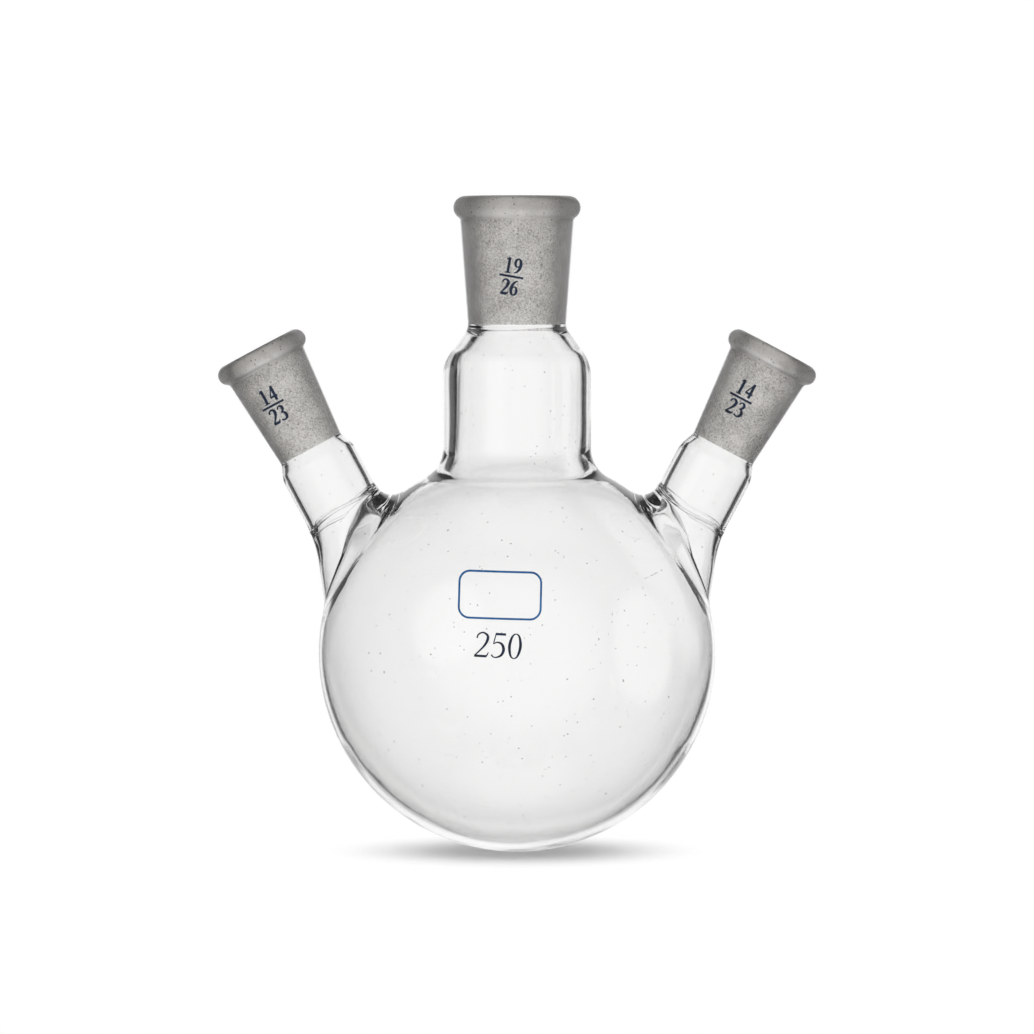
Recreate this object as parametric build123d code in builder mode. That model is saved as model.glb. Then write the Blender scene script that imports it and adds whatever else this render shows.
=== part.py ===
from build123d import *
import os
from math import cos, radians, sin, tan

# Three neck round-bottom flask, 250 ml, blown and fused in one piece of borosilicate glass.
# Millimetres. +Z runs up the centre neck and +X points towards one side neck.
# The origin is the lowest point of the bulb, on the centre neck's axis.
# A neck's own depths are measured down its axis from its rim.

# bulb
bulb_diameter = 85.0
bulb_wall = 2.2
overall_height = 140.4

# side necks: both lie in the XZ plane
side_neck_lean = 28.1  # degrees away from the centre neck
side_neck_exit = 53.6  # where its axis leaves the bulb, in degrees down from the bulb's top
side_neck_length = 45.4  # along its axis, from the bulb's surface to its rim

# ground sockets, a standard cone of 1 in 10 on the diameter: 19/26 and two of 14/23
ground_taper = 0.1
centre_ground_bore = 18.8  # at the wide end
centre_ground_length = 26.0
side_ground_bore = 14.5
side_ground_length = 23.0

# centre neck
centre_tube_diameter = 31.7
centre_tube_wall = 2.3
centre_mouth_round = 1.5  # rounding of the rim's inner edge
centre_bead_round = 2.5  # radius of the bead's section
centre_bead_stand = 1.25  # how far the bead stands proud of the cone
centre_wall_at_rim = 2.95  # glass outside the ground bore
centre_wall_at_waist = 2.35
centre_waist_drop = 0.7  # the outer shoulder starts this far below the ground cone
centre_shoulder_height = 7.6
centre_throat_length = 1.2  # straight bore below the ground cone
centre_flank_height = 6.6  # the inner shoulder's height
centre_waist_fillet = 3.0
centre_shoulder_fillet = 8.0
centre_flank_fillet = 6.0
centre_root_fillet = 5.5  # where the neck runs into the bulb
centre_hollow_root_fillet = 7.8  # the same corner from inside, with the wall left even

# side necks
side_tube_diameter = 17.1
side_tube_wall = 1.3
side_mouth_round = 1.3
side_bead_round = 2.1
side_bead_stand = 1.25
side_wall_at_rim = 1.85
side_wall_at_waist = 1.1
side_waist_drop = 0.1
side_shoulder_height = 3.3
side_throat_length = 0.5
side_flank_height = 2.4
side_waist_fillet = 1.5
side_shoulder_fillet = 6.0
side_flank_fillet = 3.0
side_root_fillet = 4.0
side_hollow_root_fillet = 3.0  # tighter than the outside, which leaves thick glass in the corner
side_flare_rise = 7.4  # the tube starts to open this far above the bulb, along the axis
side_flare_radius = 26.0
side_flare_angle = 20.0  # the flare ends as a cone this far from the axis
side_flare_drop = 14.0  # and runs on this far below the bulb's surface
side_hollow_flare_drop = 16.5

# worked out from the sizes above
bulb_radius = bulb_diameter / 2
hollow_radius = bulb_radius - bulb_wall
lean_sin = sin(radians(side_neck_lean))
lean_cos = cos(radians(side_neck_lean))
side_rim_out = bulb_radius * sin(radians(side_neck_exit)) + side_neck_length * lean_sin
side_rim_height = (
    bulb_radius + bulb_radius * cos(radians(side_neck_exit)) + side_neck_length * lean_cos
)
centre_foot = overall_height - bulb_radius
side_flare_top = side_neck_length - side_flare_rise
side_foot = side_neck_length + side_flare_drop
side_hollow_foot = side_neck_length + side_hollow_flare_drop


def neck_blank(plane, ground_bore, ground_length, mouth_round, tube_diameter, wall_at_rim,
               wall_at_waist, waist_drop, shoulder_height, waist_fillet, shoulder_fillet,
               bead_round, bead_stand, foot):
    """Half section of a neck as if it were solid: tube, shoulder, cone and bead."""
    waist = mouth_round + ground_length + waist_drop
    waist_radius = (ground_bore - ground_taper * ground_length) / 2 + wall_at_waist
    cone_radius = ground_bore / 2 + wall_at_rim
    bead_centre = cone_radius + bead_stand - bead_round
    tube_radius = tube_diameter / 2
    with BuildSketch(plane) as section:
        with BuildLine():
            wall = FilletPolyline(
                (tube_radius, -foot),
                (tube_radius, -waist - shoulder_height),
                (waist_radius, -waist),
                (cone_radius, -bead_round),
                radius=[shoulder_fillet, waist_fillet],
            )
            Polyline(wall @ 1, (bead_centre, -bead_round), (bead_centre, 0), (0, 0), (0, -foot), wall @ 0)
        make_face()
        with Locations((bead_centre, -bead_round)):
            Circle(bead_round)
    return section.sketch


def neck_bore(plane, ground_bore, ground_length, mouth_round, tube_diameter, tube_wall,
              throat_length, flank_height, flank_fillet, foot):
    """Half section of a neck's hollow: rounded mouth, ground cone, throat, inner shoulder and tube."""
    ground_radius = ground_bore / 2
    ground_end = mouth_round + ground_length
    throat_radius = ground_radius - ground_taper * ground_length / 2
    throat_end = ground_end + throat_length
    tube_radius = tube_diameter / 2 - tube_wall
    with BuildSketch(plane) as section:
        with BuildLine():
            mouth = CenterArc((ground_radius + mouth_round, -mouth_round), mouth_round, 90, 90)
            ground = Line(mouth @ 1, (throat_radius, -ground_end))
            throat = Line(ground @ 1, (throat_radius, -throat_end))
            wall = FilletPolyline(
                throat @ 1,
                (tube_radius, -throat_end - flank_height),
                (tube_radius, -foot),
                radius=flank_fillet,
            )
            Polyline(wall @ 1, (0, -foot), (0, 0), mouth @ 0)
        make_face()
    return section.sketch


def flare(plane, tube_radius, flare_radius, top, foot):
    """Half section of a trumpet: an arc that leaves the tube at top, then a cone down to foot."""
    with BuildSketch(plane) as section:
        with BuildLine():
            bell = CenterArc((tube_radius + flare_radius, -top), flare_radius, 180, side_flare_angle)
            skirt_run = (bell @ 1).Y + foot
            skirt = Line(bell @ 1, ((bell @ 1).X + skirt_run * tan(radians(side_flare_angle)), -foot))
            Polyline(skirt @ 1, (0, -foot), (0, -top), bell @ 0)
        make_face()
    return section.sketch


centre_rim = Plane(origin=(0, 0, overall_height), x_dir=(1, 0, 0), z_dir=(0, -1, 0))
side_rim = Plane(
    origin=(side_rim_out, 0, side_rim_height),
    x_dir=(lean_cos, 0, -lean_sin),
    z_dir=(0, -1, 0),
)
side_axis = Axis(side_rim.origin, side_rim.y_dir)

# the outside of one side neck
with BuildPart() as side_blank:
    revolve(
        neck_blank(side_rim, side_ground_bore, side_ground_length, side_mouth_round,
                   side_tube_diameter, side_wall_at_rim, side_wall_at_waist, side_waist_drop,
                   side_shoulder_height, side_waist_fillet, side_shoulder_fillet,
                   side_bead_round, side_bead_stand, side_foot),
        axis=side_axis,
    )
    revolve(
        flare(side_rim, side_tube_diameter / 2, side_flare_radius, side_flare_top, side_foot),
        axis=side_axis,
    )

# the hollow of one side neck
with BuildPart() as side_hollow:
    revolve(
        neck_bore(side_rim, side_ground_bore, side_ground_length, side_mouth_round,
                  side_tube_diameter, side_tube_wall, side_throat_length, side_flank_height,
                  side_flank_fillet, side_hollow_foot),
        axis=side_axis,
    )
    revolve(
        flare(side_rim, side_tube_diameter / 2 - side_tube_wall, side_flare_radius + side_tube_wall,
              side_flare_top, side_hollow_foot),
        axis=side_axis,
    )

# the outside of the whole flask, as if it were solid glass
with BuildPart() as outside:
    with Locations((0, 0, bulb_radius)):
        Sphere(bulb_radius, rotation=(0, 0, 90))
    revolve(
        neck_blank(centre_rim, centre_ground_bore, centre_ground_length, centre_mouth_round,
                   centre_tube_diameter, centre_wall_at_rim, centre_wall_at_waist, centre_waist_drop,
                   centre_shoulder_height, centre_waist_fillet, centre_shoulder_fillet,
                   centre_bead_round, centre_bead_stand, centre_foot),
        axis=Axis.Z,
    )
    fillet(outside.edges(Select.NEW), centre_root_fillet)
    add(side_blank.part)
    fillet(outside.edges(Select.NEW), side_root_fillet)
    mirror(side_blank.part, about=Plane.YZ)
    fillet(outside.edges(Select.NEW), side_root_fillet)

# the hollow of the whole flask
with BuildPart() as hollow:
    with Locations((0, 0, bulb_radius)):
        Sphere(hollow_radius, rotation=(0, 0, 90))
    revolve(
        neck_bore(centre_rim, centre_ground_bore, centre_ground_length, centre_mouth_round,
                  centre_tube_diameter, centre_tube_wall, centre_throat_length, centre_flank_height,
                  centre_flank_fillet, centre_foot),
        axis=Axis.Z,
    )
    fillet(hollow.edges(Select.NEW), centre_hollow_root_fillet)
    add(side_hollow.part)
    fillet(hollow.edges(Select.NEW), side_hollow_root_fillet)
    mirror(side_hollow.part, about=Plane.YZ)
    fillet(hollow.edges(Select.NEW), side_hollow_root_fillet)

# one piece of glass
with BuildPart() as flask:
    add(outside.part)
    add(hollow.part, mode=Mode.SUBTRACT)
flask.part.label = "flask"

os.makedirs("parts", exist_ok=True)
export_step(flask.part, "parts/flask.step")
print(f"flask: {flask.part.volume / 1000:.2f} cm3 of glass, hollow {hollow.part.volume / 1000:.1f} cm3")
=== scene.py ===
from math import acos, asin, atan2, ceil, cos, hypot, pi, radians, sin, sqrt, tan

import bpy
import numpy as np
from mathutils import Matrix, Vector, noise
from mathutils.geometry import delaunay_2d_cdt


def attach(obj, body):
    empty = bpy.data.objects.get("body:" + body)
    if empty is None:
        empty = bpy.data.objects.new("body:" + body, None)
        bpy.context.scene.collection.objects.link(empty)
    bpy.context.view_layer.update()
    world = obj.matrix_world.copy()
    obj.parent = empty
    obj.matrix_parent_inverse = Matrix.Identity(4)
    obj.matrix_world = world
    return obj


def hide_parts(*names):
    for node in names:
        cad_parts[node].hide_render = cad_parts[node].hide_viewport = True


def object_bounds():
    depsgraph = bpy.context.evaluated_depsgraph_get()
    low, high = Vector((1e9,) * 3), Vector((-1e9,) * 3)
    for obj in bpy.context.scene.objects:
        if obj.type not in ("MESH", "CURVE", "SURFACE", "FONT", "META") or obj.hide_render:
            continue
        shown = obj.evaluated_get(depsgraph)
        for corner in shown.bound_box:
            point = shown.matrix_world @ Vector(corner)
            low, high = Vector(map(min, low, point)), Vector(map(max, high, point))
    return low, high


# Three neck round-bottom flask. Metres, in the frame of the CAD model: the bulb rests on the origin,
# the centre neck points along +Z and the side necks lean towards +X and -X.

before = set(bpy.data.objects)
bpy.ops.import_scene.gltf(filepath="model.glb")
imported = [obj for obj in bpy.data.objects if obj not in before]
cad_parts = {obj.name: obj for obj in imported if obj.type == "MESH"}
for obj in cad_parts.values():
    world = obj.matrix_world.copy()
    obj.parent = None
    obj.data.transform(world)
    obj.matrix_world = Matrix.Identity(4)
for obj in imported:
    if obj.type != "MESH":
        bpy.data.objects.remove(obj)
cadBox = [list(corner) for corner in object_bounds()]
flaskHeight = cadBox[1][2]
mm = 0.001
tiny = 0.01 * mm
print("frame loaded, the CAD box is", cadBox)

bulb = {
    "diameter": 85.0 * mm,
    "wall": 2.2 * mm,
    "waves": 0.10 * mm,  # how far the blown hollow wanders
    "waveLength": 17.0 * mm,
    "waveStretch": 0.45,  # under 1 draws the waves out along Z
    "fineWaves": (3.1, 3.1, 1.2),  # how much shorter the finer waves are along X, Y and Z
    "fineShare": 0.3,
    "thinning": 0.6 * mm,  # of the wall round the roots of the side necks
}
centreNeck = {
    "groundBore": 18.8 * mm,
    "groundLength": 26.0 * mm,
    "groundTaper": 0.1,
    "mouthRound": 1.5 * mm,
    "wallAtRim": 2.95 * mm,
    "wallAtWaist": 2.35 * mm,
    "waistDrop": 0.7 * mm,
    "shoulderHeight": 7.6 * mm,
    "waistFillet": 3.0 * mm,
    "shoulderFillet": 8.0 * mm,
    "beadRound": 2.5 * mm,
    "beadStand": 1.25 * mm,
    "beadFillet": 0.6 * mm,
    "tubeDiameter": 31.7 * mm,
    "tubeWall": 2.3 * mm,
    "throatLength": 1.2 * mm,
    "throatFillet": 1.2 * mm,
    "flankHeight": 6.6 * mm,
    "flankFillet": 6.0 * mm,
    "tubeEnd": 42.0 * mm,  # below this the outline depends on the angle round the neck
    "flareTop": 42.0 * mm,
    "flareRadius": 26.0 * mm,
    "flareAngle": 0.0,  # this tube stays straight
    "rootFillet": (7.0 * mm, 7.0 * mm, 7.0 * mm),  # towards the centre, at the sides and away
    "hollowFillet": (6.4 * mm, 6.4 * mm, 6.4 * mm),
    "flareRows": 14,
    "columns": 160,
    "offCentre": 0.35 * mm,  # how far the blown bore sits towards +X
    "offCentreFrom": -4.0 * mm,  # where that starts, over the bulb's top
    "offCentreFull": 8.0 * mm,  # and where it is full
}
sideNeck = {
    "lean": radians(28.1),
    "exit": radians(53.6),  # where the axis leaves the bulb, down from the bulb's top
    "length": 45.4 * mm,  # from there to the rim
    "groundBore": 14.5 * mm,
    "groundLength": 23.0 * mm,
    "groundTaper": 0.1,
    "mouthRound": 1.3 * mm,
    "wallAtRim": 1.85 * mm,
    "wallAtWaist": 1.1 * mm,
    "waistDrop": 0.1 * mm,
    "shoulderHeight": 3.3 * mm,
    "waistFillet": 1.5 * mm,
    "shoulderFillet": 6.0 * mm,
    "beadRound": 2.1 * mm,
    "beadStand": 1.25 * mm,
    "beadFillet": 0.6 * mm,
    "tubeDiameter": 17.1 * mm,
    "tubeWall": 1.3 * mm,
    "throatLength": 0.5 * mm,
    "throatFillet": 0.4 * mm,
    "flankHeight": 2.4 * mm,
    "flankFillet": 3.0 * mm,
    "tubeEnd": 33.0 * mm,
    "flareTop": 38.0 * mm,
    "flareRadius": 26.0 * mm,
    "flareAngle": radians(20.0),
    "rootFillet": (4.0 * mm, 9.5 * mm, 6.0 * mm),
    "hollowFillet": (2.0 * mm, 7.5 * mm, 5.0 * mm),
    "flareRows": 36,
    "columns": 104,
    "weldDepth": 39.0 * mm,  # where the neck was fused on, below its rim
    "weldSlant": 0.9 * mm,
    "weldWobble": 0.3 * mm,
    "weldPhases": (0.6, 1.0),  # of the slant and the wobble, in radians round the neck
    "weldRise": 0.13 * mm,
    "weldWidth": 0.55 * mm,
    "thinFull": 14.0 * mm,  # the bulb's wall is drawn out in full this near the axis
    "thinEnd": 25.0 * mm,  # and not at all this far from it
    "thinFullRise": 2.0 * mm,  # the same by height over the bulb's surface
    "thinEndRise": 9.0 * mm,
}
detail = {  # how finely the glass is divided
    "spacing": 1.6 * mm,  # between the points spread over the bulb
    "keepOff": 0.75,  # of that spacing, between them and a neck's last row
    "capMargin": radians(1.6),  # of bulb that belongs to a neck's own rows
    "capAngles": 13,
    "arcSteps": 9,
    "boreRun": 0.7 * mm,
    "groundRun": 1.2 * mm,
    "wallRun": 1.4 * mm,
    "beadSteps": 22,
    "beadGap": 0.06,  # radians of bead between the mouth's last row and the bead's first
    "underBeadSteps": 6,
    "cornerSteps": 12,
    "footSteps": 5,  # rows on the bulb itself
    "searchRun": 40.0 * mm,  # a root is looked for this far down the flare
    "searchTurn": radians(40),
    "mattPastMouth": 2,  # rows of the rim that are as matt as the ground bore
    "stillRows": 8,  # the hollow stops wandering over this many rows below the throat
    "farFromWeld": 20.0 * mm,  # what points away from a weld are given as its distance
}
bulbRadius = bulb["diameter"] / 2
bulbCentre = np.array([0.0, 0.0, bulbRadius])


# Half sections. A point is (depth below the rim, distance from the neck's axis).
def arcPoints(centre, start, end, count):
    centre, start, end = (np.array(p, float) for p in (centre, start, end))
    radius = np.linalg.norm(start - centre)
    first = atan2(start[1] - centre[1], start[0] - centre[0])
    turn = atan2(end[1] - centre[1], end[0] - centre[0]) - first
    turn = (turn + pi) % (2 * pi) - pi
    angles = first + turn * np.linspace(0, 1, count)
    return [centre + radius * np.array([cos(a), sin(a)]) for a in angles]


def roundedLine(corners, radii, arcSteps, runStep):
    corners = [np.array(c, float) for c in corners]
    arcs = []
    for before, corner, after, radius in zip(corners, corners[1:], corners[2:], radii):
        toBefore = (before - corner) / np.linalg.norm(before - corner)
        toAfter = (after - corner) / np.linalg.norm(after - corner)
        if radius == 0:
            arcs.append([corner])
            continue
        half = acos(toBefore @ toAfter) / 2
        middle = (toBefore + toAfter) / np.linalg.norm(toBefore + toAfter)
        cut = radius / tan(half)
        arcs.append(arcPoints(corner + middle * radius / sin(half), corner + toBefore * cut,
                              corner + toAfter * cut, arcSteps))
    line = [corners[0]]
    for arc in arcs + [[corners[-1]]]:
        gap = np.linalg.norm(arc[0] - line[-1])
        count = ceil(gap / runStep) if gap > tiny else 0
        line += [line[-1] + (arc[0] - line[-1]) * k / count for k in range(1, count + 1)]
        line += arc[1:]
    return line


def bisect(rule, low, high):
    lowSign = rule(low) > 0
    for _ in range(32):
        middle = (low + high) / 2
        if (rule(middle) > 0) == lowSign:
            low = middle
        else:
            high = middle
    return (low + high) / 2


# The hollow's outline in two parts: from the tube up to the ground cone, and from there over the mouth.
def boreOutline(neck):
    groundRadius = neck["groundBore"] / 2
    groundEnd = neck["mouthRound"] + neck["groundLength"]
    throatRadius = groundRadius - neck["groundTaper"] * neck["groundLength"] / 2
    throatEnd = groundEnd + neck["throatLength"]
    tubeRadius = neck["tubeDiameter"] / 2 - neck["tubeWall"]
    tube = roundedLine(
        [(neck["tubeEnd"], tubeRadius), (throatEnd + neck["flankHeight"], tubeRadius),
         (throatEnd, throatRadius), (groundEnd, throatRadius)],
        [neck["flankFillet"], neck["throatFillet"]], detail["arcSteps"], detail["boreRun"])
    cone = roundedLine([(groundEnd, throatRadius), (neck["mouthRound"], groundRadius)],
                       [], detail["arcSteps"], detail["groundRun"])
    mouthCentre = (neck["mouthRound"], groundRadius + neck["mouthRound"])
    mouth = arcPoints(mouthCentre, cone[-1], (0.0, mouthCentre[1]), detail["arcSteps"])
    return tube, cone[1:] + mouth[1:]


# The outside's outline from the mouth over the bead and down to the tube, and how many points are bead.
def outerOutline(neck):
    waist = neck["mouthRound"] + neck["groundLength"] + neck["waistDrop"]
    throatBore = neck["groundBore"] - neck["groundTaper"] * neck["groundLength"]
    waistRadius = throatBore / 2 + neck["wallAtWaist"]
    coneRadius = neck["groundBore"] / 2 + neck["wallAtRim"]
    tubeRadius = neck["tubeDiameter"] / 2
    beadRound, fillet = neck["beadRound"], neck["beadFillet"]
    beadCentre = np.array([beadRound, coneRadius + neck["beadStand"] - beadRound])
    slope = (coneRadius - waistRadius) / (waist - beadRound)
    outwards = np.array([slope, 1.0]) / hypot(slope, 1.0)

    def onCone(depth):
        return np.array([depth, coneRadius - slope * (depth - beadRound)])

    def filletGap(depth):
        return np.linalg.norm(onCone(depth) + outwards * fillet - beadCentre) - beadRound - fillet

    touch = bisect(filletGap, beadRound, 3 * beadRound)
    filletCentre = onCone(touch) + outwards * fillet
    beadEnd = beadCentre + (filletCentre - beadCentre) * beadRound / (beadRound + fillet)
    mouthTop = neck["groundBore"] / 2 + neck["mouthRound"]
    startAngle = asin(max(0.0, (mouthTop - beadCentre[1]) / beadRound)) + detail["beadGap"]
    beadStart = beadCentre + beadRound * np.array([-cos(startAngle), sin(startAngle)])
    bead = arcPoints(beadCentre, beadStart, beadEnd, detail["beadSteps"])
    underBead = arcPoints(filletCentre, beadEnd, onCone(touch), detail["underBeadSteps"])
    wall = roundedLine(
        [onCone(touch), (waist, waistRadius), (waist + neck["shoulderHeight"], tubeRadius),
         (neck["tubeEnd"], tubeRadius)],
        [neck["waistFillet"], neck["shoulderFillet"]], detail["arcSteps"], detail["wallRun"])
    return bead + underBead[1:] + wall[1:], len(bead) + len(underBead) - 1


# How a neck's tube opens and runs into the bulb, in the half section at one angle round the neck.
# Without the cap's size it gives only the point where the root's fillet reaches the bulb.
def rootOutline(neck, place, inside, angle, capCos=None):
    tubeRadius = neck["tubeDiameter"] / 2 - (neck["tubeWall"] if inside else 0.0)
    flareRadius = neck["flareRadius"] + (neck["tubeWall"] if inside else 0.0)
    near, beside, away = neck["hollowFillet"] if inside else neck["rootFillet"]
    fillet = beside + ((near if cos(angle) < 0 else away) - beside) * cos(angle) ** 2
    ballRadius = bulbRadius - (bulb["wall"] if inside else 0.0)
    offset = place["offset"] * cos(angle)
    section = sqrt(ballRadius ** 2 - (place["offset"] * sin(angle)) ** 2)
    ballCentre = np.array([place["depth"], offset])
    bend = neck["flareAngle"]

    def onFlare(run):
        run = run - neck["flareTop"] + neck["tubeEnd"]
        turn = max(0.0, min(run / flareRadius, bend))
        straight = run - flareRadius * turn
        point = np.array([neck["flareTop"] + flareRadius * sin(turn) + straight * cos(turn),
                          tubeRadius + flareRadius * (1 - cos(turn)) + straight * sin(turn)])
        return point, np.array([-sin(turn), cos(turn)])

    def gap(run):
        point, normal = onFlare(run)
        return np.linalg.norm(point + normal * fillet - ballCentre) - section - fillet

    runs = np.linspace(0, detail["searchRun"], 41)
    last = next(k for k, run in enumerate(runs) if gap(run) < 0)
    run = bisect(gap, runs[last - 1], runs[last])
    point, normal = onFlare(run)
    filletCentre = point + normal * fillet
    foot = ballCentre + (filletCentre - ballCentre) * section / (section + fillet)
    if capCos is None:
        return foot
    flare = [onFlare(run * k / neck["flareRows"])[0] for k in range(1, neck["flareRows"])]
    corner = arcPoints(filletCentre, point, foot, detail["cornerSteps"])

    def onBall(turn):
        return ballCentre + section * np.array([-cos(turn), sin(turn)])

    def outsideCap(turn):
        return capCos - (toFlask(place, onBall(turn), angle) - bulbCentre) @ place["cap"] / ballRadius

    first = atan2(foot[1] - offset, place["depth"] - foot[0])
    edge = bisect(outsideCap, first, first + detail["searchTurn"])
    steps = detail["footSteps"]
    onBulb = [onBall(first + (edge - first) * k / steps) for k in range(1, steps + 1)]
    return flare + corner + onBulb


def toFlask(place, point, angle):
    outwards = cos(angle) * place["across"] + sin(angle) * place["sideways"]
    return place["rim"] + point[0] * place["down"] + point[1] * outwards


# Where a neck sits: its rim, its axis and the bulb as seen from it.
def placeNeck(rim, lean):
    down = np.array([-sin(lean), 0.0, -cos(lean)])
    across = np.array([cos(lean), 0.0, -sin(lean)])
    toBulb = bulbCentre - rim
    return {"rim": rim, "down": down, "across": across, "sideways": np.array([0.0, 1.0, 0.0]),
            "depth": toBulb @ down, "offset": toBulb @ across}


# The round patch of bulb that a neck's rows run out on.
def capOf(neck, place, inside):
    ballRadius = bulbRadius - (bulb["wall"] if inside else 0.0)
    feet = []
    for angle in np.linspace(0, pi, detail["capAngles"]):
        foot = toFlask(place, rootOutline(neck, place, inside, angle), angle)
        feet.append((foot - bulbCentre) / ballRadius)
    middle = feet[0] + feet[-1]
    middle = middle / np.linalg.norm(middle)
    reach = max(acos(foot @ middle) for foot in feet) + detail["capMargin"]
    return middle, reach


# One neck as rows of points, from the bulb's hollow up the bore, over the rim and down to the bulb,
# with the numbers of the rows where the ground zone starts, where it meets the bead and where it ends.
def neckRows(neck, place):
    columns = neck["columns"]
    angles = [2 * pi * k / columns for k in range(columns)]
    tube, ground = boreOutline(neck)
    outer, underBead = outerOutline(neck)
    fixedLine = tube + ground + outer
    sides = {}
    for inside in (True, False):
        place["cap"], reach = capOf(neck, place, inside)
        half = [rootOutline(neck, place, inside, angle, cos(reach))
                for angle in angles[:columns // 2 + 1]]
        sides[inside] = half + half[-2:0:-1]  # the two halves of a neck are alike
        place["capInside" if inside else "capOutside"] = (place["cap"], reach)
    rows = []
    ring = [cos(a) * place["across"] + sin(a) * place["sideways"] for a in angles]

    def rowOf(outlines):
        pairs = np.array(outlines)
        return place["rim"] + pairs[:, :1] * place["down"] + pairs[:, 1:] * np.array(ring)

    for k in range(len(sides[True][0]) - 1, -1, -1):
        rows.append(rowOf([side[k] for side in sides[True]]))
    groundStart = len(rows) + len(tube) - 1
    for point in fixedLine:
        rows.append(rowOf([point] * columns))
    groundTop = groundStart + len(ground) + detail["mattPastMouth"]
    groundEnd = groundStart + len(ground) + underBead  # the rim and the bead are matt as well
    for k in range(len(sides[False][0])):
        rows.append(rowOf([side[k] for side in sides[False]]))
    return np.array(rows), groundStart, groundTop, groundEnd


sideRim = np.array([
    bulbRadius * sin(sideNeck["exit"]) + sideNeck["length"] * sin(sideNeck["lean"]),
    0.0,
    bulbRadius + bulbRadius * cos(sideNeck["exit"]) + sideNeck["length"] * cos(sideNeck["lean"]),
])
centrePlace = placeNeck(np.array([0.0, 0.0, flaskHeight]), 0.0)
sidePlace = placeNeck(sideRim, sideNeck["lean"])


# The rest of a bulb's wall: points spread evenly between the necks' round patches.
def bulbPatch(ballRadius, loops, caps, points):
    count = int(4 * pi * ballRadius ** 2 / (detail["spacing"] ** 2 * sqrt(3) / 2))
    golden = pi * (3 - sqrt(5))
    keepOff = detail["keepOff"] * detail["spacing"] / ballRadius

    def isFree(direction, cap):
        middle, reach = cap
        return acos(max(-1.0, min(1.0, direction @ middle))) > reach + keepOff

    directions = []
    for k in range(count):
        z = 1 - (2 * k + 1) / count
        ring = sqrt(1 - z * z)
        direction = np.array([ring * cos(golden * k), ring * sin(golden * k), z])
        if all(isFree(direction, cap) for cap in caps):
            directions.append(direction)
    spread = [bulbCentre + ballRadius * direction for direction in directions]
    firstNew = len(points)
    indices = [i for loop in loops for i in loop] + list(range(firstNew, firstNew + len(spread)))
    loopOf = [number for number, loop in enumerate(loops) for _ in loop] + [None] * len(spread)
    points.extend(spread)
    flat = []
    for i in indices:
        unit = (points[i] - bulbCentre) / ballRadius
        flat.append(Vector((unit[0] / (1 - unit[2]), unit[1] / (1 - unit[2]))))  # seen from the bulb's top
    made = delaunay_2d_cdt(flat, [], [], 0, 1e-9)
    if len(made[0]) != len(flat):
        raise ValueError("points of the bulb fell together")
    back = [sources[0] for sources in made[3]]
    faces = []
    for face in made[2]:
        corners = [back[v] for v in face]
        if loopOf[corners[0]] is not None and len({loopOf[c] for c in corners}) == 1:
            continue
        faces.append([indices[c] for c in corners])
    return faces


# How far each point of a side neck is from the weld that runs round it.
def weldDistances(rows, place, neck):
    offsets = rows - place["rim"]
    along = offsets @ place["down"]
    angle = np.arctan2(offsets @ place["sideways"], offsets @ place["across"])
    slantPhase, wobblePhase = neck["weldPhases"]
    line = neck["weldDepth"] + neck["weldSlant"] * np.cos(angle + slantPhase)
    line = line + neck["weldWobble"] * np.sin(3 * angle + wobblePhase)
    return np.clip(along - line, -detail["farFromWeld"], detail["farFromWeld"])


# All points and faces of the glass. Each face says whether it is in a ground zone. Each point says how
# much of the hollow's wander it takes, how far it is from a weld and whether it is ground or bead.
def makeFlaskMesh():
    points, faces, ground, hollow, weld, matt = [], [], [], [], [], []
    hollowLoops, outerLoops = [], []
    halfTurn = np.array([-1.0, -1.0, 1.0])
    centre, side = neckRows(centreNeck, centrePlace), neckRows(sideNeck, sidePlace)
    for neck, made, turn in ((centreNeck, centre, 1.0), (sideNeck, side, 1.0), (sideNeck, side, halfTurn)):
        rows, groundStart, groundTop, groundEnd = made
        base, columns = len(points), neck["columns"]
        if neck is sideNeck:
            weld.extend(weldDistances(rows.reshape(-1, 3), sidePlace, neck))
        else:
            weld.extend([detail["farFromWeld"]] * len(rows) * columns)
        points.extend((rows * turn).reshape(-1, 3))
        for r in range(len(rows)):
            wander = (groundStart - r) / detail["stillRows"]
            hollow.extend([max(0.0, min(1.0, wander))] * columns)
        matt.extend([1.0 if r < groundTop else 0.0 for r in range(len(rows)) for _ in range(columns)])
        for r in range(len(rows) - 1):
            for c in range(columns):
                a, b = base + r * columns + c, base + r * columns + (c + 1) % columns
                faces.append([a, a + columns, b + columns, b])
                ground.append(groundStart <= r < groundEnd)
        hollowLoops.append([base + c for c in range(columns)])
        outerLoops.append([base + (len(rows) - 1) * columns + c for c in range(columns)])
    for inside, loops in ((True, hollowLoops), (False, outerLoops)):
        name = "capInside" if inside else "capOutside"
        middle, reach = sidePlace[name]
        caps = [centrePlace[name], (middle, reach), (middle * halfTurn, reach)]
        ballRadius = bulbRadius - (bulb["wall"] if inside else 0.0)
        firstNew = len(points)
        patch = bulbPatch(ballRadius, loops, caps, points)
        a, b, c = (points[i] for i in patch[0])
        facesOut = np.cross(b - a, c - a) @ (a - bulbCentre) > 0
        faces += [corners[::-1] for corners in patch] if facesOut == inside else patch
        ground += [False] * len(patch)
        hollow.extend([1.0 if inside else 0.0] * (len(points) - firstNew))
        weld.extend([detail["farFromWeld"]] * (len(points) - firstNew))
        matt.extend([0.0] * (len(points) - firstNew))
    return np.array(points), faces, ground, np.array(hollow), np.array(weld), np.array(matt)


def fadeBetween(values, none, full):
    t = np.clip((values - none) / (full - none), 0.0, 1.0)
    return t * t * (3 - 2 * t)


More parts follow.
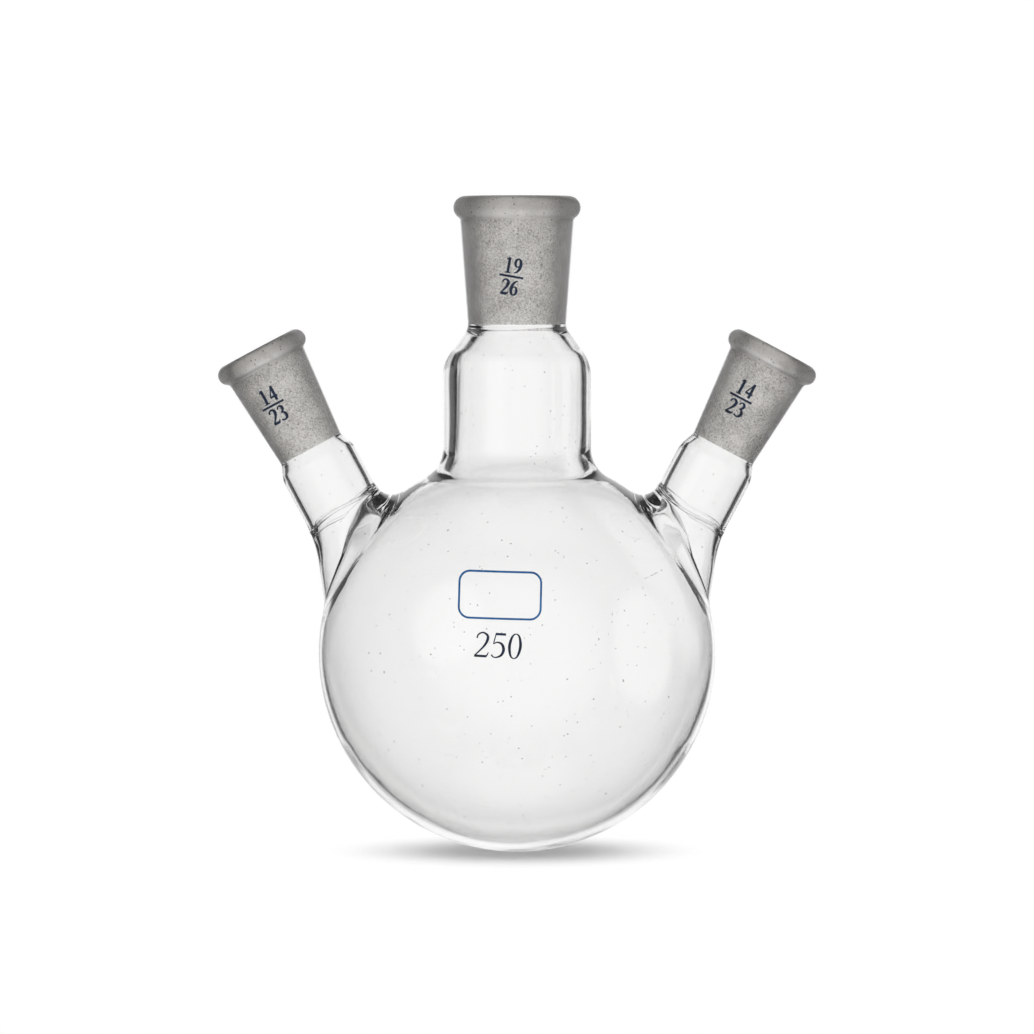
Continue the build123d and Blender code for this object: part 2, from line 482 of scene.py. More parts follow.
# How much the wall is drawn out round a side neck's root: not at all towards the centre neck.
def thinRoot(places):
    neck = sideNeck
    offsets = places - sidePlace["rim"]
    across, sideways = offsets @ sidePlace["across"], offsets @ sidePlace["sideways"]
    fromAxis = np.hypot(across, sideways)
    fromBall = np.linalg.norm(places - bulbCentre, axis=1) - bulbRadius
    fromMiddle = offsets @ sidePlace["down"] - sidePlace["depth"]  # under 0 on the neck's side
    crowded = np.clip(-across / np.maximum(fromAxis, tiny), 0.0, 1.0)
    drawn = fadeBetween(fromAxis, neck["thinEnd"], neck["thinFull"])
    drawn = drawn * fadeBetween(fromBall, neck["thinEndRise"], neck["thinFullRise"])
    return drawn * (fromMiddle < 0) * (1 - crowded ** 2)


# Blown glass is never quite even. The hollow wanders a little, its wall is drawn out round the roots
# of the necks, and glass is heaped along the welds.
def unevenGlass(mesh, hollow, weld):
    count = len(mesh.vertices)
    places, normals = np.empty(count * 3), np.empty(count * 3)
    mesh.vertices.foreach_get("co", places)
    mesh.vertices.foreach_get("normal", normals)
    places, normals = places.reshape(-1, 3), normals.reshape(-1, 3)
    shift = sideNeck["weldRise"] * np.exp(-(weld / sideNeck["weldWidth"]) ** 2)
    mirrored = places * np.array([-1.0, 1.0, 1.0])
    drawn = np.maximum(thinRoot(places), thinRoot(mirrored))
    overBulb = places[:, 2] - 2 * bulbRadius
    inNeck = fadeBetween(overBulb, centreNeck["offCentreFrom"], centreNeck["offCentreFull"])
    inNeck *= np.hypot(places[:, 0], places[:, 1]) < centreNeck["tubeDiameter"] / 2
    shift += hollow * (centreNeck["offCentre"] * inNeck * normals[:, 0] - bulb["thinning"] * drawn)
    elsewhere = np.array([7.0, 0.0, 0.0])  # the finer waves come from another part of the noise
    for k in np.flatnonzero(hollow):
        place = places[k] / bulb["waveLength"]
        wave = noise.noise(place * (1.0, 1.0, bulb["waveStretch"]))
        wave += bulb["fineShare"] * noise.noise(place * bulb["fineWaves"] + elsewhere)
        shift[k] += bulb["waves"] * hollow[k] * wave
    mesh.vertices.foreach_set("co", (places + normals * shift[:, None]).ravel())


points, faces, ground, hollow, weld, matt = makeFlaskMesh()
print("flask mesh:", len(points), "points,", len(faces), "faces")

glassMesh = bpy.data.meshes.new("flask_glass")
glassMesh.from_pydata([tuple(p) for p in points], [], faces)
glassMesh.polygons.foreach_set("use_smooth", [True] * len(faces))
glassMesh.polygons.foreach_set("material_index", [1 if g else 0 for g in ground])
glassMesh.update()
unevenGlass(glassMesh, hollow, weld)
glassMesh.attributes.new("weld", "FLOAT", "POINT").data.foreach_set("value", weld)
glassMesh.attributes.new("matt", "FLOAT", "POINT").data.foreach_set("value", matt)
glassMesh.update()
glass = bpy.data.objects.new("flask_glass", glassMesh)
bpy.context.scene.collection.objects.link(glass)


# Materials. An input is a number, a colour or another node's output.
def addNode(tree, kind, inputs=None, **settings):
    made = tree.nodes.new(kind)
    for name, value in settings.items():
        setattr(made, name, value)
    for name, value in (inputs or {}).items():
        if isinstance(value, bpy.types.NodeSocket):
            tree.links.new(value, made.inputs[name])
        else:
            made.inputs[name].default_value = value
    return made


def addMath(tree, operation, first, second):
    return addNode(tree, "ShaderNodeMath", {0: first, 1: second}, operation=operation).outputs["Value"]


def addVectorMath(tree, operation, first, second=(0.0, 0.0, 0.0)):
    made = addNode(tree, "ShaderNodeVectorMath", {0: first, 1: second}, operation=operation)
    return made.outputs["Value" if operation in ("LENGTH", "DOT_PRODUCT") else "Vector"]


# A value as it runs from low to high, turned into one from first to last.
def addRange(tree, value, low, high, first=0.0, last=1.0, easing="SMOOTHSTEP"):
    return addNode(tree, "ShaderNodeMapRange", {
        "Value": value, "From Min": low, "From Max": high, "To Min": first, "To Max": last,
    }, interpolation_type=easing).outputs["Result"]


def addBump(tree, shader, height):
    bump = addNode(tree, "ShaderNodeBump", {"Height": height, "Distance": 1.0, "Strength": 1.0})
    tree.links.new(bump.outputs["Normal"], shader.inputs["Normal"])


def newMaterial(name, **values):
    material = bpy.data.materials.new(name)
    material.use_nodes = True
    tree = material.node_tree
    shader = tree.nodes["Principled BSDF"]
    for key, value in values.items():
        shader.inputs[key.replace("_", " ")].default_value = value
    return material, tree, shader, addNode(tree, "ShaderNodeTexCoord").outputs["Object"]


def newGroup(name, inputs, outputs):
    group = bpy.data.node_groups.new(name, "ShaderNodeTree")
    for label, kind, value in inputs:
        socket = group.interface.new_socket(label, in_out="INPUT", socket_type=kind)
        if value is not None:
            socket.default_value = value
    for label in outputs:
        group.interface.new_socket(label, in_out="OUTPUT", socket_type="NodeSocketFloat")
    return group, addNode(group, "NodeGroupInput").outputs, addNode(group, "NodeGroupOutput")


# Seeds, pits and dust: small dots, one at most in each cell of space, in a share of the cells.
def makeSpecks():
    group, given, out = newGroup("specks", [
        ("Vector", "NodeSocketVector", None), ("Spacing", "NodeSocketFloat", 0.005),
        ("Radius", "NodeSocketFloat", 0.0002), ("Share", "NodeSocketFloat", 1.0)], ["Mask"])
    cells = addVectorMath(group, "DIVIDE", given["Vector"], given["Spacing"])
    dots = addNode(group, "ShaderNodeTexVoronoi", {"Vector": cells, "Scale": 1.0})
    reach = addMath(group, "MULTIPLY", dots.outputs["Distance"], given["Spacing"])
    lot = addNode(group, "ShaderNodeSeparateColor", {"Color": dots.outputs["Color"]})
    leastSize, core = 0.4, 0.4  # of the radius, and of the dot that is dark right through
    size = addMath(group, "MULTIPLY", given["Radius"], addMath(group, "ADD", lot.outputs["Green"], leastSize))
    dot = addRange(group, reach, addMath(group, "MULTIPLY", size, core), size, 1.0, 0.0)
    chosen = addMath(group, "LESS_THAN", lot.outputs["Red"], given["Share"])
    group.links.new(addMath(group, "MULTIPLY", dot, chosen), out.inputs["Mask"])
    return group


# Slow waves with a finer one on top, from 0 to 1.
def makeUnevenness():
    group, given, out = newGroup("unevenness", [
        ("Vector", "NodeSocketVector", None), ("Size", "NodeSocketFloat", 0.01),
        ("Fine", "NodeSocketFloat", 0.3)], ["Wave"])
    scaled = addVectorMath(group, "DIVIDE", given["Vector"], given["Size"])
    slow = addNode(group, "ShaderNodeTexNoise", {"Vector": scaled, "Scale": 1.0, "Detail": 1.0})
    fine = addNode(group, "ShaderNodeTexNoise", {"Vector": scaled, "Scale": 4.3, "Detail": 2.0})
    mixed = addNode(group, "ShaderNodeMix", {"Factor": given["Fine"], "A": slow.outputs["Fac"],
                                             "B": fine.outputs["Fac"]})
    group.links.new(mixed.outputs["Result"], out.inputs["Wave"])
    return group


specks, unevenness = makeSpecks(), makeUnevenness()


def useGroup(tree, group, inputs):
    return addNode(tree, "ShaderNodeGroup", inputs, node_tree=group).outputs[0]


def mixColours(tree, factor, first, second):
    made = addNode(tree, "ShaderNodeMix", data_type="RGBA")
    for socket, value in zip([made.inputs[0], made.inputs[6], made.inputs[7]], [factor, first, second]):
        if isinstance(value, bpy.types.NodeSocket):
            tree.links.new(value, socket)
        else:
            socket.default_value = value
    return made.outputs[2]


glassIor = 1.47
clearLook = {
    "glass": (0.986, 0.987, 0.983, 1.0),
    "speck": (0.24, 0.25, 0.25, 1.0),
    "speckSpacing": 2.4 * mm,
    "speckRadius": 0.20 * mm,
    "speckShare": 0.8,
    "hairSpacing": 4.5 * mm,
    "hairRadius": 0.16 * mm,
    "hairShare": 0.55,
    "hairTurn": (0.25, 0.3, 0.0),
    "hairStretch": 0.12,  # under 1 draws a dot out into a hair along Z
    "hairDepth": 0.6,
    "rippleSize": 7.0 * mm,
    "rippleFine": 0.18,
    "rippleHeight": 0.02 * mm,
    "weldHeight": 0.16 * mm,
    "weldHalf": 0.34 * mm,
    "weldBand": 1.5 * mm,  # specks lie this far to either side of a weld
    "weldSpeckSpacing": 1.3 * mm,
    "weldSpeckRadius": 0.22 * mm,
    "weldSpeckDepth": 0.8,
}


def makeClearGlass():
    look = clearLook
    material, tree, shader, place = newMaterial("clear_glass", Transmission_Weight=1.0, Roughness=0.0,
                                                IOR=glassIor)
    weld = addNode(tree, "ShaderNodeAttribute", attribute_name="weld").outputs["Fac"]
    near = addMath(tree, "ABSOLUTE", weld, 0.0)
    ridge = addRange(tree, near, 0.0, look["weldHalf"], 1.0, 0.0)
    band = addRange(tree, near, 0.0, look["weldBand"], 1.0, 0.0, "LINEAR")
    seeds = useGroup(tree, specks, {"Vector": place, "Spacing": look["speckSpacing"],
                                    "Radius": look["speckRadius"], "Share": look["speckShare"]})
    drawn = addNode(tree, "ShaderNodeMapping", {"Vector": place, "Rotation": look["hairTurn"],
                                                "Scale": (1.0, 1.0, look["hairStretch"])})
    hairs = useGroup(tree, specks, {"Vector": drawn.outputs["Vector"], "Spacing": look["hairSpacing"],
                                    "Radius": look["hairRadius"], "Share": look["hairShare"]})
    weldSpecks = useGroup(tree, specks, {"Vector": place, "Spacing": look["weldSpeckSpacing"],
                                         "Radius": look["weldSpeckRadius"], "Share": band})
    marks = addMath(tree, "MAXIMUM", seeds, addMath(tree, "MULTIPLY", hairs, look["hairDepth"]))
    marks = addMath(tree, "MAXIMUM", marks, addMath(tree, "MULTIPLY", weldSpecks, look["weldSpeckDepth"]))
    tree.links.new(mixColours(tree, marks, look["glass"], look["speck"]), shader.inputs["Base Color"])
    ripple = useGroup(tree, unevenness, {"Vector": place, "Size": look["rippleSize"],
                                         "Fine": look["rippleFine"]})
    height = addMath(tree, "MULTIPLY", ripple, look["rippleHeight"])
    height = addMath(tree, "ADD", height, addMath(tree, "MULTIPLY", ridge, look["weldHeight"]))
    addBump(tree, shader, height)
    return material


groundLook = {
    "pale": (1.0, 0.975, 0.945, 1.0),
    "dark": (0.18, 0.17, 0.16, 1.0),
    "shadeFrom": 0.55,  # the grain's value that is dark, and the one that is pale
    "shadeTo": 0.82,
    "bead": (1.0, 0.99, 0.975, 1.0),
    "beadShade": 0.30,  # how much of the grain shows on the bead
    "grainSize": 0.34 * mm,
    "grainFine": 0.45,
    "grainHeight": 0.07 * mm,
    "mottleSize": 4.0 * mm,
    "mottleFine": 0.4,
    "mottleShare": 0.4,
    "roughness": 0.52,
    "beadRoughness": 0.30,
    "roughnessSpread": 0.2,
    "speck": (0.10, 0.09, 0.09, 1.0),
    "speckSpacing": 0.9 * mm,
    "speckRadius": 0.20 * mm,
    "speckShare": 0.5,
}


def makeGroundGlass():
    look = groundLook
    material, tree, shader, place = newMaterial("ground_glass", Transmission_Weight=1.0, IOR=glassIor)
    matt = addNode(tree, "ShaderNodeAttribute", attribute_name="matt").outputs["Fac"]  # 1 ground, 0 bead
    grain = useGroup(tree, unevenness, {"Vector": place, "Size": look["grainSize"],
                                        "Fine": look["grainFine"]})
    mottle = useGroup(tree, unevenness, {"Vector": place, "Size": look["mottleSize"],
                                         "Fine": look["mottleFine"]})
    pits = useGroup(tree, specks, {"Vector": place, "Spacing": look["speckSpacing"],
                                   "Radius": look["speckRadius"], "Share": look["speckShare"]})
    mixed = addMath(tree, "ADD", grain, addMath(tree, "MULTIPLY", mottle, look["mottleShare"]))
    shade = addRange(tree, mixed, look["shadeFrom"], look["shadeTo"], easing="LINEAR")
    stone = mixColours(tree, shade, look["dark"], look["pale"])
    stone = mixColours(tree, addMath(tree, "MAXIMUM", matt, look["beadShade"]), look["bead"], stone)
    tree.links.new(mixColours(tree, pits, stone, look["speck"]), shader.inputs["Base Color"])
    rough = addRange(tree, matt, 0.0, 1.0, look["beadRoughness"], look["roughness"], "LINEAR")
    rough = addMath(tree, "SUBTRACT", rough, look["roughnessSpread"] / 2)
    rough = addMath(tree, "ADD", rough, addMath(tree, "MULTIPLY", grain, look["roughnessSpread"]))
    tree.links.new(rough, shader.inputs["Roughness"])
    addBump(tree, shader, addMath(tree, "MULTIPLY", grain, look["grainHeight"]))
    return material


enamelLook = {
    "numeral_enamel": ((0.0004, 0.0040, 0.0160, 1.0), (0.0012, 0.0200, 0.0700, 1.0)),  # thick, thin
    "field_enamel": ((0.0010, 0.0700, 0.2300, 1.0), (0.0050, 0.1250, 0.3600, 1.0)),
    "patchSize": 1.1 * mm,
    "patchFine": 0.35,
    "patchHeight": 0.02 * mm,
    "thickFrom": 0.35,  # the patch's value where the ink is thick, and where it is thin
    "thinFrom": 0.65,
    "pinhole": (0.10, 0.20, 0.30, 1.0),
    "pinholeSpacing": 1.2 * mm,
    "pinholeRadius": 0.12 * mm,
    "pinholeShare": 0.5,
    "roughness": 0.42,
    "roughnessSpread": 0.3,
    "ior": 1.5,
}


def makeEnamel(name):
    look = enamelLook
    material, tree, shader, place = newMaterial(name, IOR=look["ior"])
    patch = useGroup(tree, unevenness, {"Vector": place, "Size": look["patchSize"],
                                        "Fine": look["patchFine"]})
    holes = useGroup(tree, specks, {"Vector": place, "Spacing": look["pinholeSpacing"],
                                    "Radius": look["pinholeRadius"], "Share": look["pinholeShare"]})
    cover = addRange(tree, patch, look["thickFrom"], look["thinFrom"], easing="LINEAR")
    ink = mixColours(tree, cover, *look[name])
    tree.links.new(mixColours(tree, holes, ink, look["pinhole"]), shader.inputs["Base Color"])
    rough = addMath(tree, "MULTIPLY", patch, look["roughnessSpread"])
    rough = addMath(tree, "ADD", rough, look["roughness"] - look["roughnessSpread"] / 2)
    tree.links.new(rough, shader.inputs["Roughness"])
    addBump(tree, shader, addMath(tree, "MULTIPLY", patch, look["patchHeight"]))
    return material


glassMesh.materials.append(makeClearGlass())
glassMesh.materials.append(makeGroundGlass())
navy, blue = makeEnamel("numeral_enamel"), makeEnamel("field_enamel")
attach(glass, "root")
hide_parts("flask")
print("materials ready")

# Prints. A numeral is pen strokes of (across, up, pen width), in units of the numeral's height.
numerals = {
    "0": [
        [(0.25, 0.98, 0.045), (0.13, 0.87, 0.085), (0.065, 0.5, 0.12), (0.13, 0.13, 0.085),
         (0.25, 0.02, 0.045), (0.37, 0.13, 0.085), (0.435, 0.5, 0.12), (0.37, 0.87, 0.085),
         (0.25, 0.98, 0.045)],
    ],
    "1": [
        [(0.27, 0.99, 0.1), (0.27, 0.02, 0.1)],
        [(0.1, 0.83, 0.045), (0.27, 0.98, 0.06)],
        [(0.09, 0.02, 0.045), (0.45, 0.02, 0.045)],
    ],
    "2": [
        [(0.07, 0.74, 0.06), (0.1, 0.88, 0.06), (0.25, 0.97, 0.065), (0.41, 0.87, 0.1), (0.43, 0.7, 0.115),
         (0.35, 0.48, 0.09), (0.2, 0.26, 0.065), (0.05, 0.07, 0.05)],
        [(0.03, 0.05, 0.1), (0.44, 0.05, 0.1)],
        [(0.44, 0.04, 0.06), (0.5, 0.21, 0.035)],
    ],
    "3": [
        [(0.07, 0.8, 0.055), (0.13, 0.93, 0.055), (0.25, 0.97, 0.065), (0.38, 0.88, 0.1),
         (0.38, 0.71, 0.1), (0.28, 0.58, 0.065), (0.17, 0.535, 0.04)],
        [(0.19, 0.545, 0.04), (0.34, 0.5, 0.075), (0.44, 0.32, 0.115), (0.39, 0.12, 0.1),
         (0.24, 0.03, 0.06), (0.1, 0.05, 0.06), (0.05, 0.13, 0.075)],
    ],
    "4": [
        [(0.35, 0.97, 0.05), (0.04, 0.3, 0.05)],
        [(0.02, 0.29, 0.075), (0.51, 0.29, 0.075)],
        [(0.36, 1.0, 0.105), (0.36, 0.0, 0.105)],
    ],
    "5": [
        [(0.12, 0.94, 0.1), (0.47, 0.94, 0.1)],
        [(0.135, 0.94, 0.045), (0.08, 0.55, 0.045)],
        [(0.08, 0.55, 0.045), (0.2, 0.62, 0.06), (0.36, 0.56, 0.1), (0.44, 0.35, 0.12), (0.38, 0.13, 0.1),
         (0.22, 0.03, 0.06), (0.1, 0.05, 0.055), (0.05, 0.13, 0.07)],
    ],
    "6": [
        [(0.43, 0.96, 0.04), (0.26, 0.87, 0.07), (0.12, 0.66, 0.105), (0.07, 0.36, 0.115),
         (0.13, 0.11, 0.09), (0.26, 0.03, 0.055), (0.39, 0.12, 0.09), (0.43, 0.32, 0.1),
         (0.36, 0.51, 0.075), (0.24, 0.55, 0.045), (0.12, 0.47, 0.045)],
    ],
}
numerals["9"] = [[(0.5 - x, 1.0 - y, pen) for x, y, pen in stroke] for stroke in numerals["6"]]

joint = {
    "height": 3.3 * mm,
    "weight": 1.75,  # of the pen
    "pitch": 0.60,  # from numeral to numeral, in heights
    "gap": 0.42 * mm,
    "bar": 5.1 * mm,
    "barPen": 0.46 * mm,
}
volume = {"height": 5.3 * mm, "weight": 0.95, "pitch": 0.65, "lean": 3.0, "spread": 1.16}
field = {
    "width": 17.0 * mm,
    "height": 9.6 * mm,
    "corner": 2.2 * mm,
    "pen": 0.42 * mm,
    "cornerSteps": 7,
    "run": 0.6 * mm,
}
enamelSkin = {
    "lift": 0.01 * mm,  # of its underside off the glass
    "thickness": 0.05 * mm,
    "mergeWithin": 0.002 * mm,
    "startsAt": -0.2,  # along Y, in front of the flask
}


# A stroke's middle line through its points, in steps no longer than the given one.
def penLine(stroke, step):
    stroke = np.array(stroke)
    if len(stroke) == 2:
        count = max(2, ceil(np.linalg.norm(stroke[1, :2] - stroke[0, :2]) / step) + 1)
        return stroke[0] + (stroke[1] - stroke[0]) * np.linspace(0, 1, count)[:, None]
    closed = np.allclose(stroke[0], stroke[-1])
    before = stroke[-2] if closed else 2 * stroke[0] - stroke[1]
    after = stroke[1] if closed else 2 * stroke[-1] - stroke[-2]
    padded = np.vstack([before, stroke, after])
    line = []
    for p0, p1, p2, p3 in zip(padded, padded[1:], padded[2:], padded[3:]):
        count = max(2, ceil(np.linalg.norm(p2[:2] - p1[:2]) / step))
        for t in np.arange(count) / count:
            line.append(0.5 * (2 * p1 + (p2 - p0) * t + (2 * p0 - 5 * p1 + 4 * p2 - p3) * t * t
                               + (3 * p1 - p0 - 3 * p2 + p3) * t ** 3))
    return np.array(line + [stroke[-1]])


# Flat faces for a set of strokes, joined where the strokes cross.
def inkShape(strokes, step):
    corners, quads = [], []
    for stroke in strokes:
        line = penLine(stroke, step)
        run = np.gradient(line[:, :2], axis=0)
        if np.allclose(line[0], line[-1]):
            run[0] = run[-1] = line[1, :2] - line[-2, :2]
        run /= np.linalg.norm(run, axis=1)[:, None]
        side = np.column_stack([-run[:, 1], run[:, 0]]) * line[:, 2:] / 2
        first = len(corners)
        for left, right in zip(line[:, :2] + side, line[:, :2] - side):
            corners += [Vector(left), Vector(right)]
        quads += [[first + 2 * k, first + 2 * k + 1, first + 2 * k + 3, first + 2 * k + 2]
                  for k in range(len(line) - 1)]
    made = delaunay_2d_cdt(corners, [], quads, 0, 1e-7)
    kept = [face for face, sources in zip(made[2], made[5]) if sources]
    used = sorted({v for face in kept for v in face})
    renumber = {v: k for k, v in enumerate(used)}
    return [(made[0][v].x, made[0][v].y, 0.0) for v in used], [[renumber[v] for v in face] for face in kept]


# Strokes for a row of numerals, centred, with their feet at the given height.
def rowOfNumerals(text, height, weight, pitch, foot, lean=0.0, spread=1.0):
    strokes = []
    start = -((len(text) - 1) * pitch + 0.5 * spread) * height / 2
    for k, letter in enumerate(text):
        for stroke in numerals[letter]:
            strokes.append([(start + (k * pitch + spread * x + tan(radians(lean)) * y) * height,
                             foot + y * height, pen * weight * height) for x, y, pen in stroke])
    return strokes


# A socket's size: one number over the other, with a bar between them.
def jointMark(over, under):
    height, gap = joint["height"], joint["gap"] + joint["barPen"] / 2
    strokes = rowOfNumerals(over, height, joint["weight"], joint["pitch"], gap)
    strokes += rowOfNumerals(under, height, joint["weight"], joint["pitch"], -gap - height)
    return strokes + [[(-joint["bar"] / 2, 0.0, joint["barPen"]), (joint["bar"] / 2, 0.0, joint["barPen"])]]


# An empty field with rounded corners.
def fieldOutline():
    x, y = field["width"] / 2, field["height"] / 2
    line = roundedLine([(0, y), (-x, y), (-x, -y), (x, -y), (x, y), (0, y)], [field["corner"]] * 4,
                       field["cornerSteps"], field["run"])
    return [[(point[0], point[1], field["pen"]) for point in line]]


# Wraps a flat drawing onto the front of the glass and gives it the thickness of fired enamel.
def makeWrapTree():
    tree = bpy.data.node_groups.new("wrapOnGlass", "GeometryNodeTree")
    for name, kind in (("Geometry", "Geometry"), ("Glass", "Object"), ("Place", "Vector"), ("Turn", "Float"),
                       ("Lift", "Float"), ("Thickness", "Float"), ("Enamel", "Material")):
        tree.interface.new_socket(name, in_out="INPUT", socket_type="NodeSocket" + kind)
    tree.interface.new_socket("Geometry", in_out="OUTPUT", socket_type="NodeSocketGeometry")
    given, out = addNode(tree, "NodeGroupInput").outputs, addNode(tree, "NodeGroupOutput")
    turned = addNode(tree, "ShaderNodeCombineXYZ", {"X": pi / 2, "Y": given["Turn"]})
    stood = addNode(tree, "GeometryNodeTransform", {
        "Geometry": given["Geometry"], "Translation": given["Place"], "Rotation": turned.outputs["Vector"]})
    target = addNode(tree, "GeometryNodeObjectInfo", {"Object": given["Glass"]})
    position = addNode(tree, "GeometryNodeInputPosition").outputs["Position"]
    ray = addNode(tree, "GeometryNodeRaycast", {
        "Target Geometry": target.outputs["Geometry"], "Source Position": position,
        "Ray Direction": (0.0, 1.0, 0.0), "Ray Length": 1.0})
    raised = addNode(tree, "ShaderNodeVectorMath", {0: ray.outputs["Hit Normal"], "Scale": given["Lift"]},
                     operation="SCALE")
    landed = addVectorMath(tree, "ADD", ray.outputs["Hit Position"], raised.outputs["Vector"])
    laid = addNode(tree, "GeometryNodeSetPosition", {"Geometry": stood.outputs["Geometry"],
                                                     "Position": landed})
    thick = addNode(tree, "GeometryNodeExtrudeMesh", {
        "Mesh": laid.outputs["Geometry"], "Offset Scale": given["Thickness"], "Individual": False})
    under = addNode(tree, "GeometryNodeFlipFaces", {"Mesh": laid.outputs["Geometry"]})
    both = addNode(tree, "GeometryNodeJoinGeometry")
    tree.links.new(thick.outputs["Mesh"], both.inputs["Geometry"])
    tree.links.new(under.outputs["Mesh"], both.inputs["Geometry"])
    welded = addNode(tree, "GeometryNodeMergeByDistance", {"Geometry": both.outputs["Geometry"],
                                                           "Distance": enamelSkin["mergeWithin"]})
    real = addNode(tree, "GeometryNodeRealizeInstances", {"Geometry": welded.outputs["Geometry"]})
    painted = addNode(tree, "GeometryNodeSetMaterial", {"Geometry": real.outputs["Geometry"],
                                                        "Material": given["Enamel"]})
    tree.links.new(painted.outputs["Geometry"], out.inputs["Geometry"])
    return tree


wrapTree = makeWrapTree()
prints = [  # name, strokes, middle as X and Z in mm, degrees turned clockwise, pen step in mm, ink
    ("print_volume", rowOfNumerals("250", volume["height"], volume["weight"], volume["pitch"],
                                   -volume["height"] / 2, volume["lean"], volume["spread"]),
     (-4.0, 46.6), 3.0, 0.35, navy),
    ("print_field", fieldOutline(), (-3.53, 56.9), 1.5, 0.6, blue),
    ("print_centre_joint", jointMark("19", "26"), (-1.2, 123.2), 10.0, 0.25, navy),
    ("print_left_joint", jointMark("14", "23"), (-51.9, 95.8), -28.1, 0.25, navy),
    ("print_right_joint", jointMark("14", "23"), (47.65, 97.3), 28.1, 0.25, navy),
]


def makePrint(name, strokes, middle, turn, step, ink):
    corners, inkFaces = inkShape(strokes, step * mm)
    flat = bpy.data.meshes.new(name + "_flat")
    flat.from_pydata(corners, [], inkFaces)
    drawing = bpy.data.objects.new(name + "_flat", flat)
    bpy.context.scene.collection.objects.link(drawing)
    wrap = drawing.modifiers.new("wrap", "NODES")
    wrap.node_group = wrapTree
    sockets = {item.name: item.identifier for item in wrapTree.interface.items_tree
               if item.in_out == "INPUT"}
    values = {"Glass": glass, "Place": (middle[0] * mm, enamelSkin["startsAt"], middle[1] * mm),
              "Turn": radians(turn), "Lift": enamelSkin["lift"], "Thickness": enamelSkin["thickness"],
              "Enamel": ink}
    for label, value in values.items():
        wrap[sockets[label]] = value
    evaluated = drawing.evaluated_get(bpy.context.evaluated_depsgraph_get())
    mesh = bpy.data.meshes.new_from_object(evaluated)
    mesh.name = name
    drawing.modifiers.remove(wrap)
    bpy.data.objects.remove(drawing)
    bpy.data.meshes.remove(flat)
    piece = bpy.data.objects.new(name, mesh)
    bpy.context.scene.collection.objects.link(piece)
    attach(piece, "root")
    return piece


for spec in prints:
    piece = makePrint(*spec)
    print(spec[0], "has", len(piece.data.polygons), "faces")

# Floor and studio. The world is white for what it lights and for the camera. Glass sees a dark room
# with soft white windows round it, so each side has one behind the flask.
studio = {
    "floorRadius": 0.60,
    "floorCorners": 120,
    "fadeFrom": 0.012,  # the paper's shadow fades out between these distances
    "fadeTo": 0.042,
    # the oval window behind: degrees of full white, degrees to the dark, strength, and a share that
    # stands it upright when it is under 1
    "tall": (19, 31, 1.0, 0.6),
    # the round windows: degrees round from +Y and up, degrees of full white, degrees to the dark,
    # strength, and whether all light sees them; the others show only through the whole flask
    "windows": [
        (-90, -3, 19, 31, 1.0, False),
        (-45, -25, 19, 31, 1.0, False),
        (135, -15, 19, 31, 1.0, False),
        (0, 90, 12, 34, 0.5, True),
        (180, 5, 20, 75, 0.6, True),
    ],
    "room": 0.03,
    "tent": 0.28,  # a pale tent that only the outer skin mirrors
    "throughFlask": 3.5,  # light has crossed more surfaces than this once it is through the flask
}


def makeFloor():
    look = bpy.data.materials.new("floor_paper")
    look.use_nodes = True
    tree = look.node_tree
    tree.nodes.clear()
    place = addNode(tree, "ShaderNodeTexCoord").outputs["Object"]
    fade = addRange(tree, addVectorMath(tree, "LENGTH", place), studio["fadeFrom"], studio["fadeTo"])
    paper = addNode(tree, "ShaderNodeBsdfDiffuse", {"Color": (1.0, 1.0, 1.0, 1.0)})
    white = addNode(tree, "ShaderNodeEmission")
    both = addNode(tree, "ShaderNodeMixShader", {"Fac": fade, 1: paper.outputs["BSDF"],
                                                 2: white.outputs["Emission"]})
    addNode(tree, "ShaderNodeOutputMaterial", {"Surface": both.outputs["Shader"]})
    radius, count = studio["floorRadius"], studio["floorCorners"]
    turns = [2 * pi * k / count for k in range(count)]
    mesh = bpy.data.meshes.new("floor")
    mesh.from_pydata([(radius * cos(a), radius * sin(a), 0.0) for a in turns], [], [list(range(count))])
    mesh.materials.append(look)
    floor = bpy.data.objects.new("floor", mesh)
    bpy.context.scene.collection.objects.link(floor)
    floor.visible_transmission = False
    floor.visible_glossy = False


# One soft window: full strength within core degrees of its middle and dark past edge degrees.
def addWindow(tree, direction, middle, core, edge, strength):
    facing = addVectorMath(tree, "DOT_PRODUCT", direction, middle)
    return addRange(tree, facing, cos(radians(edge)), cos(radians(core)), 0.0, strength)


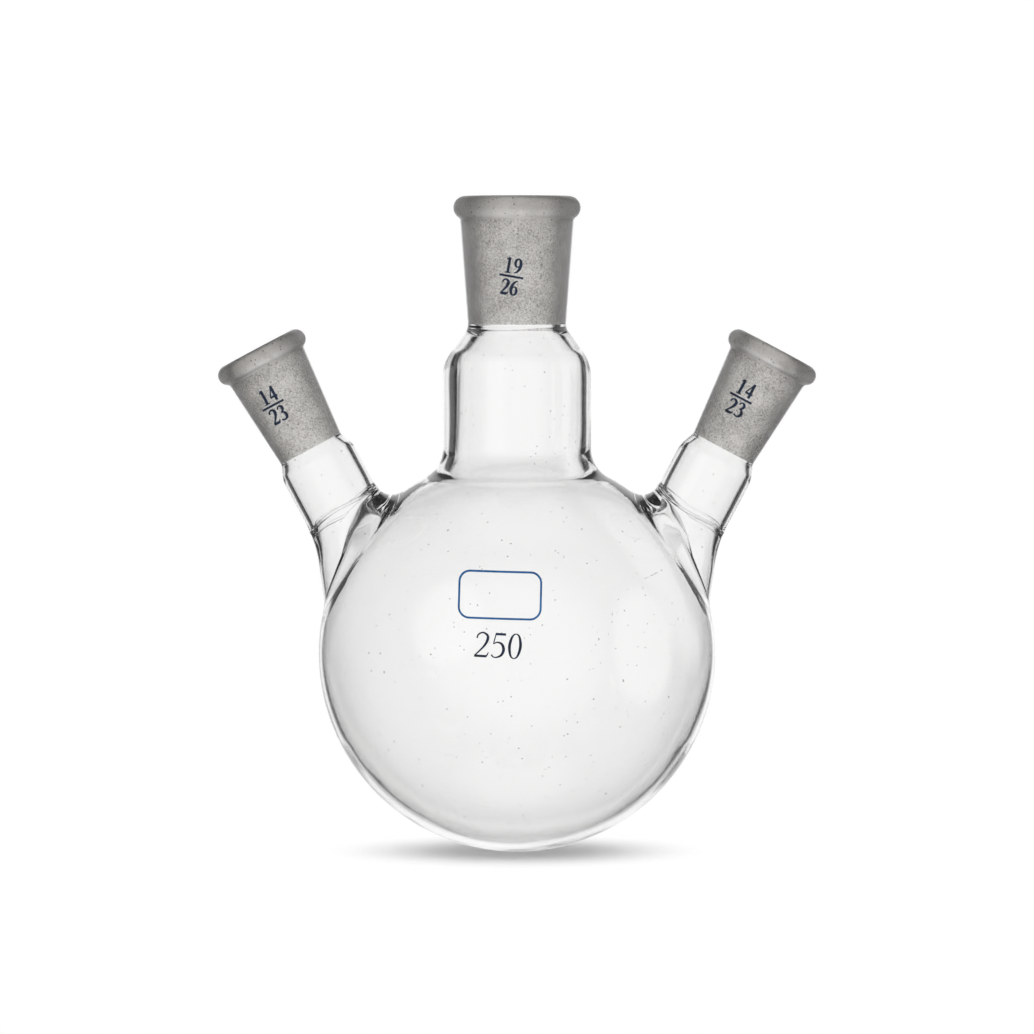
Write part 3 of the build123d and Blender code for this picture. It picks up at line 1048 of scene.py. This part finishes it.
def makeWorld():
    world = bpy.data.worlds.new("studio")
    bpy.context.scene.world = world
    world.use_nodes = True
    tree = world.node_tree
    direction = addNode(tree, "ShaderNodeTexCoord").outputs["Generated"]
    rays = addNode(tree, "ShaderNodeLightPath")
    through = addMath(tree, "GREATER_THAN", rays.outputs["Transmission Depth"], studio["throughFlask"])
    core, edge, strength, squeeze = studio["tall"]
    level = addVectorMath(tree, "MULTIPLY", direction, (1.0, 1.0, squeeze))
    level = addVectorMath(tree, "NORMALIZE", level)
    tall = addWindow(tree, level, (0.0, 1.0, 0.0), core, edge, strength)
    seen = addMath(tree, "MAXIMUM", tall, studio["room"])
    for azimuth, elevation, core, edge, strength, anyRay in studio["windows"]:
        azimuth, elevation = radians(azimuth), radians(elevation)
        middle = (sin(azimuth) * cos(elevation), cos(azimuth) * cos(elevation), sin(elevation))
        soft = addWindow(tree, direction, middle, core, edge, strength)
        shine = soft if anyRay else addMath(tree, "MULTIPLY", soft, through)
        seen = addMath(tree, "MAXIMUM", shine, seen)
    outside = addMath(tree, "LESS_THAN", rays.outputs["Transmission Depth"], 0.5)
    mirrored = addMath(tree, "MULTIPLY", outside, rays.outputs["Is Glossy Ray"])
    seen = addMath(tree, "MAXIMUM", seen, addMath(tree, "MULTIPLY", mirrored, studio["tent"]))
    lit = addMath(tree, "GREATER_THAN", rays.outputs["Diffuse Depth"], 0.5)
    direct = addMath(tree, "MAXIMUM", rays.outputs["Is Camera Ray"], lit)
    background = tree.nodes["Background"]
    background.inputs["Color"].default_value = (1.0, 1.0, 1.0, 1.0)
    tree.links.new(addMath(tree, "MAXIMUM", direct, seen), background.inputs["Strength"])


makeFloor()
makeWorld()
print("studio ready")

view = {"distance": 1.3, "height": 0.12, "aim": 0.0717, "width": 0.2214}  # width: what the picture spans


def makeCamera():
    data = bpy.data.cameras.new("camera")
    data.lens = data.sensor_width * view["distance"] / view["width"]
    camera = bpy.data.objects.new("camera", data)
    bpy.context.scene.collection.objects.link(camera)
    camera.location = (0.0, -view["distance"], view["height"])
    towards = Vector((0.0, 0.0, view["aim"])) - camera.location
    camera.rotation_euler = towards.to_track_quat("-Z", "Y").to_euler()
    bpy.context.scene.camera = camera


makeCamera()
bpy.context.scene.view_settings.view_transform = "Standard"
print("camera set")
